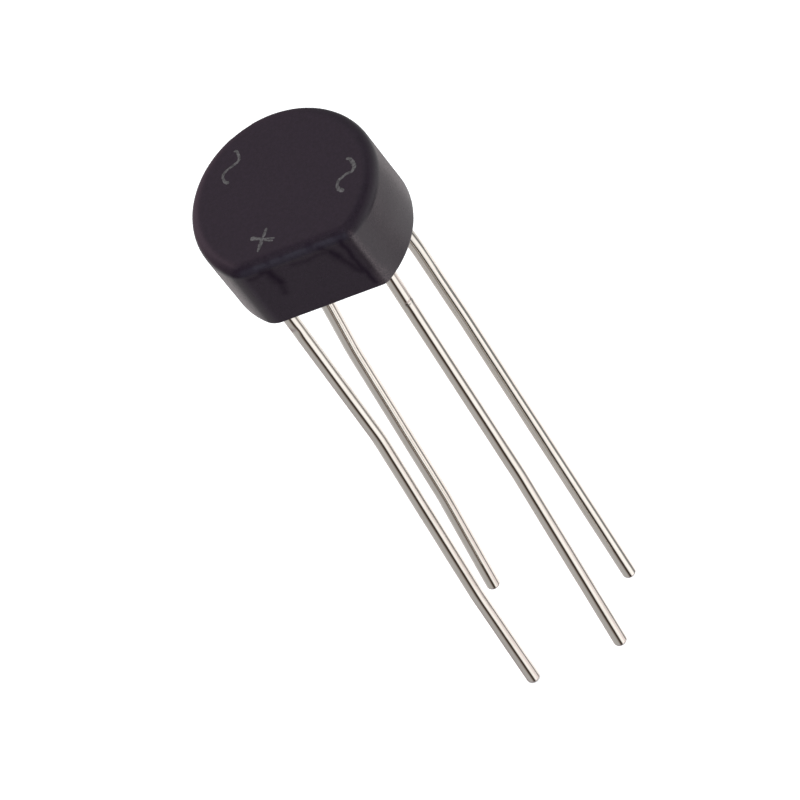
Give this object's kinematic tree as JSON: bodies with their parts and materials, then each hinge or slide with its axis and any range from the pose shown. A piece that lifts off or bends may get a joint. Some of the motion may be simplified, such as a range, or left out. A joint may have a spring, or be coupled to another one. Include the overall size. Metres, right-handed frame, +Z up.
{
  "type": "bridge rectifier",
  "caption": "Round moulded bridge rectifier with a flat on its side and long tinned wire leads, for turning AC into DC.",
  "frame": {"origin": "centre of the round body's underside, which faces the circuit board", "axes": "+Z up through the body, leads pointing down; the body's flat faces -Y; the positive lead is at -X -Y and the negative lead at +X +Y"},
  "size_m": [0.0094, 0.011, 0.036],
  "materials": {
    "epoxy": "satin moulded epoxy, black with a faint purple tint",
    "tinned_wire": "bright tinned copper wire with fine drawing marks",
    "laser_mark": "laser-marked epoxy, light grey and matt",
    "silicon": "sawn silicon, grey",
    "solder": "dull solder"
  },
  "bodies": {
    "root": {"body": "epoxy", "die_negative_left": "silicon", "die_negative_right": "silicon", "die_positive_left": "silicon", "die_positive_right": "silicon", "lead_ac_left": "tinned_wire", "lead_ac_right": "tinned_wire", "lead_negative": "tinned_wire", "lead_positive": "tinned_wire", "mark_ac_left": "laser_mark", "mark_ac_right": "laser_mark", "mark_plus": "laser_mark", "solder_negative_left_lower": "solder", "solder_negative_left_upper": "solder", "solder_negative_right_lower": "solder", "solder_negative_right_upper": "solder", "solder_positive_left_lower": "solder", "solder_positive_left_upper": "solder", "solder_positive_right_lower": "solder", "solder_positive_right_upper": "solder"}
  },
  "joints": []
}
